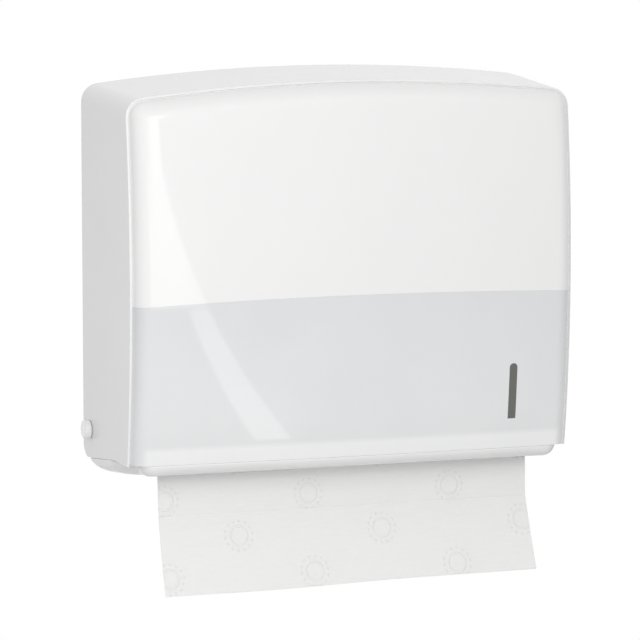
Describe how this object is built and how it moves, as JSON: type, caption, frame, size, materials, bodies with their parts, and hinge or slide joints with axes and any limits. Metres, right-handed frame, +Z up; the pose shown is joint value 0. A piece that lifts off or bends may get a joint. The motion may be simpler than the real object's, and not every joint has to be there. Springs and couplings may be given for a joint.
{
  "type": "paper towel dispenser",
  "caption": "Wall-mounted dispenser for folded paper towels: drafted cover with a bowed white upper front, a frosted window, a sight slot and an open mouth at the bottom.",
  "frame": {"origin": "centre of the four wall screw holes, on the wall plane", "axes": "+X right seen from the front, +Y into the wall, +Z up"},
  "size_m": [0.2848, 0.1114, 0.2989],
  "materials": {
    "chassis_plastic": "fine moulded grain",
    "tray_plastic": "smooth moulded",
    "pin_plastic": "smooth moulded",
    "washer_plastic": "plain nylon",
    "spring_steel": "bright drawn wire",
    "screw_steel": "zinc plated",
    "latch_plastic": "plain moulded",
    "cover_plastic": "semi gloss moulded",
    "panel_plastic": "gloss moulded",
    "frosted_plastic": "frosted see-through, gloss outside",
    "smoked_plastic": "smoked",
    "towel_paper": "soft embossed tissue paper"
  },
  "bodies": {
    "chassis": {"back_plate": "chassis_plastic", "tray": "tray_plastic", "left_stack_guide": "chassis_plastic", "right_stack_guide": "chassis_plastic", "left_hinge_pin": "pin_plastic", "right_hinge_pin": "pin_plastic", "hinge_washers": "washer_plastic", "pin_clips": "spring_steel", "tray_screws": "screw_steel", "guide_screws": "screw_steel", "latch_spring": "spring_steel", "latch_cover": "chassis_plastic", "latch_screws": "screw_steel", "towel_stack": "towel_paper"},
    "cover": {"cover_frame": "cover_plastic", "front_panel": "panel_plastic", "window_panel": "frosted_plastic", "sight_lens": "smoked_plastic", "lower_lip": "cover_plastic"},
    "latch": {"latch_bolt": "latch_plastic"},
    "towel": {"hanging_towel": "towel_paper"}
  },
  "joints": [
    {"name": "cover_hinge", "type": "hinge", "parent": "chassis", "child": "cover", "pos_m": [0, -0.0208, -0.0975], "axis": [1, 0, 0], "range_deg": [0, 75], "deforming": ["hanging_towel"]},
    {"name": "latch_press", "type": "slide", "parent": "chassis", "child": "latch", "axis": [0, 0, -1], "range_m": [0, 0.0055], "stiffness_N_per_m": 400, "deforming": ["latch_spring"]},
    {"name": "towel_pull", "type": "slide", "parent": "chassis", "child": "towel", "axis": [0, 0, -1], "range_m": [0, 0.1]}
  ]
}
